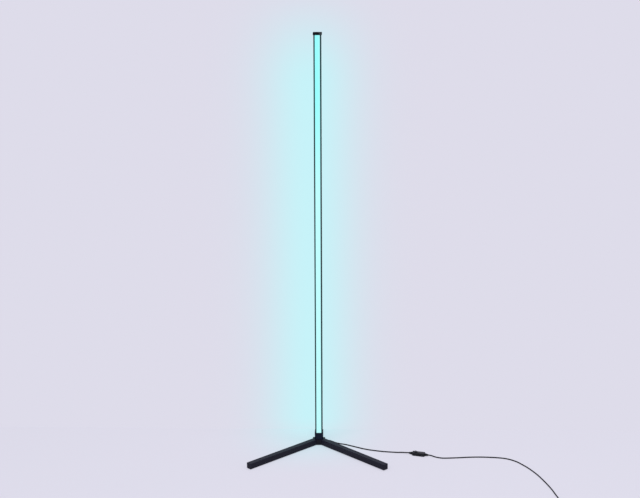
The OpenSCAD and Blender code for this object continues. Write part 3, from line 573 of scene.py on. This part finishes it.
def add_sleeve(name, cad, place, outline, rows, depth):
    mesh = loft(name, [sleeve_rings(outline, rows, depth)], place)
    return add_piece(name, mesh, "lamp", "cord_black", cad)


# Cord and its sleeves
line_near = smooth_line(ROUTE_TO_SWITCH)
line_far = smooth_line(ROUTE_TO_COIL) + coil_line() + smooth_line(ROUTE_TO_PLUG)
cord_near = add_cord("cord_near", line_near, "cord_to_switch")
cord_far = add_cord("cord_far", line_far, "cord_to_coil", "cord_coil", "cord_to_plug")

gland_outline = [
    (-0.0095, NECK_R), (0, NECK_R), (0.00001, NECK_R + 0.0002), (0.0003, NECK_R + 0.0004),
    (0.0012, NECK_R + 0.0004), (0.0015, NECK_R + 0.0002), (0.00151, NECK_R),
    (GLAND_LEN - 0.0004, CORD_R + 0.0006), (GLAND_LEN, CORD_R + 0.0003),
]
add_sleeve("gland", "cord_gland", gland_place, gland_outline, rows_between(0.0025, 0.0118, 5), 0.0006)

relief_outline = [
    (-0.0012, CORD_R + 0.0008), (0, CORD_R + 0.0008), (0.00001, RELIEF_R - 0.0003), (0.0004, RELIEF_R),
    (RELIEF_LEN / 5, RELIEF_R), (RELIEF_LEN - 0.0005, RELIEF_TIP_R), (RELIEF_LEN, RELIEF_TIP_R - 0.0004),
]
relief_rows = rows_between(0.0014, RELIEF_LEN - 0.001, 4)
for end, turn in (("in", math.pi), ("out", 0)):
    place = (
        switch_place @ Matrix.Translation((0, 0, SWITCH_CORD_Z)) @ Matrix.Rotation(turn, 4, "Z")
        @ Matrix.Translation((SWITCH_HALF, 0, 0))
    )
    add_sleeve("relief_" + end, "switch_relief_" + end, place, relief_outline, relief_rows, 0.0008)

plug_outline = [
    (0, RELIEF_TIP_R - 0.0004), (0.0005, RELIEF_TIP_R), (PLUG_RELIEF_LEN + 0.001, PLUG_RELIEF_R),
]
plug_rows = rows_between(0.0012, PLUG_RELIEF_LEN - 0.0006, 6)
plug_sleeve = add_sleeve("plug_sleeve", "plug_relief", plug_place, plug_outline, plug_rows, 0.0007)


def oblong(x, w, h, power):
    """Ring across +X: a box's outline with rounded corners, rounder where power is lower."""
    return [
        (x, w / 2 * signed_power(c, 2 / power), h / 2 * signed_power(s, 2 / power))
        for c, s in circle(48, 0.5)
    ]


def add_grip():
    """The plug's moulded grip: shoulders at the sleeve, a ridged finger hold and a square nose."""
    stations = 81
    shoulder = 0.0035  # length over which the sleeve's outline grows into the grip's
    start_w, start_h = 2 * PLUG_RELIEF_R, 2 * PLUG_RELIEF_R + 0.0004
    hold_start, hold_end, hold_fade = 0.005, 0.0195, 0.0012
    ridge_pitch, ridge_depth = 0.0026, 0.00095
    nose, nose_trim = 0.0006, 0.0009
    rings = []
    for i in range(stations):
        x = i / (stations - 1) * GRIP_L
        grow = math.sin(math.pi / 2 * min(1, x / shoulder))
        w = start_w + (GRIP_W - start_w) * grow
        h = start_h + (GRIP_H - start_h) * grow
        hold = max(0, min(1, (x - hold_start) / hold_fade, (hold_end - x) / hold_fade))
        ridge = 0.5 + 0.5 * math.cos(TURN * (x - hold_start) / ridge_pitch)
        dip = ridge_depth * hold * (1 - 0.75 * ridge**2)
        end = max(0, (x - GRIP_L + nose) / nose)
        trim = nose_trim * (1 - math.sqrt(max(0, 1 - end**2)))
        rings.append(oblong(x, w - dip - trim, h - dip - trim, 2.6 + 3.4 * grow))
    place = plug_place @ Matrix.Translation((PLUG_RELIEF_LEN, 0, 0))
    return add_piece("grip", loft("grip", [rings], place), "lamp", "plug_black", "plug_grip")


grip = add_grip()


def add_strap():
    """Strap round all the turns on the coil's left side, with its free end laid over itself."""
    clear = 0.00015  # between the strap and the cord
    bend, steps = 0.0017, 8
    near = math.sqrt((COIL_IN_R - COIL_PITCH / 4 - CORD_R) ** 2 - (TIE_W / 2) ** 2) - clear
    far = COIL_OUT_R + CORD_R + clear
    low, high = TIE_T / 2, COIL_Z + COIL_PITCH + CORD_R + clear + TIE_T / 2
    left, right = -far - TIE_T / 2, -near + TIE_T / 2
    line = [(right - bend, high)]
    for cx, cz, start in (
        (left + bend, high - bend, 90), (left + bend, low + bend, 180), (right - bend, low + bend, 270),
    ):
        for i in range(steps + 1):
            a = math.radians(start + 90 * i / steps)
            line.append((cx + bend * math.cos(a), cz + bend * math.sin(a)))
    for i in range(1, steps + 1):  # round the last corner, rising by one thickness
        a = math.radians(90 * i / steps)
        rise = bend + TIE_T * i / steps
        line.append((right - bend + (bend + 0.0001) * math.cos(a), high - bend + rise * math.sin(a)))
    for i in range(1, 7):  # the free end, laid over the first run
        line.append((right - bend - 0.0018 * i, high + TIE_T + 0.00012 * math.sin(i)))
    rings = []
    for i, (x, z) in enumerate(line):
        ax, az = line[max(i - 1, 0)]
        bx, bz = line[min(i + 1, len(line) - 1)]
        along = Vector((bx - ax, 0, bz - az)).normalized()
        out = along.cross(Vector((0, 1, 0)))
        rings.append([
            Vector((x, TIE_W / 2 * signed_power(c, 0.25), z)) + out * (TIE_T * 0.47 * signed_power(s, 0.5))
            for c, s in circle(20, 0.5)
        ])
    mesh = loft("strap", [rings], Matrix.Translation(COIL_AT))
    return add_piece("strap", mesh, "lamp", "cord_black", "coil_tie", finish="strap", sharp=50)


strap = add_strap()


def add_ridges():
    """Finger ridges on the rocker's raised end."""
    ridges, first_x, pitch = 6, -0.0112, 0.0013
    half = [(0.0025, 0.00034), (0.0029, 0.00028), (0.0031, 0.0001)]  # (y, radius), outwards from the middle
    outline = [(-y, r) for y, r in half[::-1]] + half
    slope = math.tan(ROCKER_TILT)
    face = SWITCH_TOP - PIVOT_Z
    shells = []
    for i in range(ridges):
        x = first_x + i * pitch
        shells.append([
            [(x + r * c, y, face - x * slope + r * s) for c, s in circle(12)] for y, r in outline
        ])
    mesh = loft("rocker_ridges", shells, rocker_place)
    add_piece("rocker_ridges", mesh, "rocker", "rocker_black", sharp=50)


add_ridges()


def foot_rings(radius):
    """A pressed rubber disc with a rounded rim, turned about its own +X (which points down)."""
    return turned([
        (0, radius), (FOOT_T * 0.55, radius), (FOOT_T * 0.85, radius - 0.0003), (FOOT_T, radius - 0.0009),
        (FOOT_T, radius * 0.55), (FOOT_T * 0.7, radius * 0.5), (FOOT_T * 0.7, radius * 0.2),
    ], 40)


for end, heading, reach, radius in (
    ("left", -135, LEG_LEN - FOOT_BACK, FOOT_R), ("right", -45, LEG_LEN - FOOT_BACK, FOOT_R),
    ("rear", 90, REAR_LEG_LEN - FOOT_BACK, FOOT_R), ("hub", 0, 0, HUB_FOOT_R),
):
    a = math.radians(heading)
    at = (reach * math.cos(a), reach * math.sin(a), FOOT_T)
    place = Matrix.Translation(at) @ Matrix.Rotation(math.pi / 2, 4, "Y")
    add_piece("pad_" + end, loft("pad", [foot_rings(radius)], place), "lamp", "foot_rubber", "foot_" + end)


def screw_rings(shank_r, length, head_r, head_h):
    """A socket screw along its own +X, the top of its head at x = 0. Without head_h it is countersunk."""
    sides = 48

    def hexed(x, r):
        """A hexagon's ring whose corners lie at this radius."""
        ring = []
        for k in range(sides):
            a = TURN * k / sides
            across = r * math.cos(math.pi / 6) / math.cos((a % (math.pi / 3)) - math.pi / 6)
            ring.append((x, across * math.cos(a), across * math.sin(a)))
        return ring

    if head_h:
        head = [
            (0, head_r * 0.72), (head_h * 0.15, head_r * 0.9), (head_h * 0.45, head_r), (head_h, head_r),
            (head_h, shank_r),
        ]
    else:
        head_h = head_r - shank_r
        head = [(0, head_r - 0.00015), (0.00012, head_r), (head_h, shank_r)]
    drive_r = head_r * 0.5
    drive = [hexed(head_h * 0.55, drive_r * 0.96), hexed(0.00008, drive_r)]
    crest_r, root_r, tip_r = shank_r * 0.98, shank_r * 0.86, shank_r * 0.6
    pitch = shank_r * 0.36
    threads = []
    for i in range(int((length - head_h - pitch) / pitch)):
        x = head_h + pitch * (i + 0.5)
        threads += [(x, crest_r), (x + pitch / 2, root_r)]
    return drive + turned(head + threads + [(length - 0.0003, root_r), (length, tip_r)], sides)


def add_screws(name, node, places, shank_r, length, head_r, head_h=None):
    rings = screw_rings(shank_r, length, head_r, head_h)
    shells = [[[place @ Vector(p) for p in ring] for ring in rings] for place in places]
    add_piece(name, loft(name, shells), "lamp", "screw_steel", node)


def facing(at, direction):
    """Place whose +X points along direction."""
    return Matrix.Translation(at) @ Vector(direction).to_track_quat("X", "Z").to_matrix().to_4x4()


add_screws(
    "cap_bolts", "top_cap_screws",
    [facing((side * CAP_SCREW_X, CAP_SCREW_Y, LAMP_H), (0, 0, -1)) for side in (-1, 1)],
    0.0016, 0.014, 0.003,
)
pole_screw_y = SOCKET_BACK_Y + POLE_SCREW_HEAD_H
add_screws(
    "pole_bolts", "pole_screws",
    [facing((side * POLE_SCREW_X, pole_screw_y, POLE_SCREW_Z), (0, -1, 0)) for side in (-1, 1)],
    0.002, 0.00755, 0.0035, POLE_SCREW_HEAD_H,
)

# ---------------------------------------------------------------- floor, backdrop and light

PAPER = (0.730, 0.716, 0.823)  # colour of the floor and the backdrop
PAINTED_GLOW = (0.571, 0.896, 0.947)  # painted glow of the lamp, on the backdrop and the floor next to the pole
FLOOR_HALF, WALL_HALF, WALL_H = 40, 6, 6
WALL_Y = 0.13
FLOOR_DROP = 0.0002  # keeps the floor clear of the undersides that stand on it
WALL_GLOW_X, WALL_GLOW_SPREAD = -0.030, 0.1134
WALL_GLOW_TOP, WALL_GLOW_BOTTOM = (1.586, 1.214), (-0.12, 0.055)  # heights with none and all of it
FLOOR_GLOW_X, FLOOR_GLOW_SPREAD = -0.035, 0.12
FLOOR_GLOW_Y = (-0.30, 0.27)  # depths with none and all of it
PLAIN_SHARE = 0.75  # of the floor's colour that takes no shadow, near the lamp
PLAIN_FROM, PLAIN_TO = 1.0, 3.5  # distances over which that grows to all of it
LAMPS_AIM = Vector((0, 0, 0.5))


class Shade(Nodes):
    """The nodes of the floor, the backdrop or the world."""

    def __init__(self, tree):
        super().__init__(tree)
        tree.nodes.clear()

    def bell(self, out, middle, spread):
        off = self.math("DIVIDE", self.math("SUBTRACT", out, middle), spread)
        return self.math("EXPONENT", self.times(self.times(off, off), -0.5))

    def surface(self, kind, **sockets):
        made = self.add(kind)
        for key, value in sockets.items():
            self.join(value, made.inputs[key])
        return made.outputs[0]

    def layered(self, share, a, b):
        """Surface a where share is 0, surface b where it is 1."""
        mix = self.add("ShaderNodeMixShader")
        for into, value in zip(mix.inputs, (share, a, b)):
            self.join(value, into)
        return mix.outputs[0]

    def show(self, surface, output="ShaderNodeOutputMaterial"):
        self.join(surface, self.add(output).inputs["Surface"])

    def seen(self):
        """1 for the rays that show a surface: the camera's, and those in gloss and glass."""
        path = self.add("ShaderNodeLightPath").outputs
        out = self.math("MAXIMUM", path["Is Camera Ray"], path["Is Glossy Ray"])
        return self.math("MAXIMUM", out, path["Is Transmission Ray"])


def stage_plane(name, corners):
    mesh = bpy.data.meshes.new(name)
    mesh.from_pydata(corners, [], [(0, 1, 2, 3)])
    obj = add_object(name, mesh)
    material = bpy.data.materials.new(name)
    material.use_nodes = True
    mesh.materials.append(material)
    return Shade(material.node_tree)


def add_floor():
    """Plain paper that keeps the lamp's shadow, with a little of its glow painted on. From below, it isn't
    there.
    """
    h, z = FLOOR_HALF, -FLOOR_DROP
    shade = stage_plane("floor", [(-h, -h, z), (h, -h, z), (h, h, z), (-h, h, z)])
    place = shade.split(shade.place())
    # where the lamp's glow is painted onto the floor
    share = shade.times(
        shade.bell(place["X"], FLOOR_GLOW_X, FLOOR_GLOW_SPREAD), shade.step(place["Y"], *FLOOR_GLOW_Y)
    )
    before_wall = shade.step(place["Y"], 2 * WALL_Y, WALL_Y)
    colour = shade.mixed(shade.times(share, before_wall), PAPER, PAINTED_GLOW)
    lit = shade.surface("ShaderNodeBsdfDiffuse", Color=colour)
    plain = shade.surface("ShaderNodeEmission", Color=colour)
    squares = [shade.times(place[axis], place[axis]) for axis in "XY"]
    away = shade.step(shade.math("SQRT", shade.math("ADD", *squares)), PLAIN_FROM, PLAIN_TO)
    plain_share = shade.math("ADD", PLAIN_SHARE, shade.times(away, 1 - PLAIN_SHARE))
    above = shade.layered(shade.times(shade.seen(), plain_share), lit, plain)
    below = shade.times(shade.seen(), shade.geometry("Backfacing"))
    shade.show(shade.layered(below, above, shade.surface("ShaderNodeBsdfTransparent")))


def add_wall():
    """Stands behind the lamp with its glow painted on. From behind, and for the light, it isn't there."""
    h, z = WALL_HALF, -FLOOR_DROP
    shade = stage_plane(
        "backdrop", [(-h, WALL_Y, z), (h, WALL_Y, z), (h, WALL_Y, WALL_H), (-h, WALL_Y, WALL_H)]
    )
    place = shade.split(shade.place())
    # where the lamp's glow is painted onto the backdrop
    height = shade.times(shade.step(place["Z"], *WALL_GLOW_TOP), shade.step(place["Z"], *WALL_GLOW_BOTTOM))
    share = shade.times(shade.bell(place["X"], WALL_GLOW_X, WALL_GLOW_SPREAD), height)
    paper = shade.surface("ShaderNodeEmission", Color=shade.mixed(share, PAPER, PAINTED_GLOW))
    front = shade.math("SUBTRACT", 1, shade.geometry("Backfacing"))
    shade.show(shade.layered(
        shade.times(shade.seen(), front), shade.surface("ShaderNodeBsdfTransparent"), paper
    ))


def add_world():
    """Soft light, and plain paper wherever it is seen."""
    world = bpy.data.worlds.new("world")
    bpy.context.scene.world = world
    world.use_nodes = True
    shade = Shade(world.node_tree)
    light = shade.surface("ShaderNodeBackground", Color=(0.84, 0.85, 0.88), Strength=0.5)
    paper = shade.surface("ShaderNodeBackground", Color=PAPER, Strength=1.0)
    shade.show(shade.layered(shade.seen(), light, paper), "ShaderNodeOutputWorld")


def add_lamp(name, at, size, power):
    data = bpy.data.lights.new(name, "AREA")
    data.shape = "RECTANGLE"
    data.size, data.size_y = size
    data.energy = power
    lamp = add_object(name, data)
    lamp.location = at
    lamp.rotation_euler = (LAMPS_AIM - Vector(at)).to_track_quat("-Z", "Y").to_euler()


add_floor()
add_wall()
add_world()
add_lamp("key", (-1.6, -2.6, 3.2), (2.2, 2.2), 62)
add_lamp("fill", (2.6, -1.4, 2.2), (1.8, 2.4), 30)
add_lamp("top", (0.2, 0.4, 3.6), (2.5, 2.5), 40)

bpy.context.scene.view_settings.view_transform = "Standard"
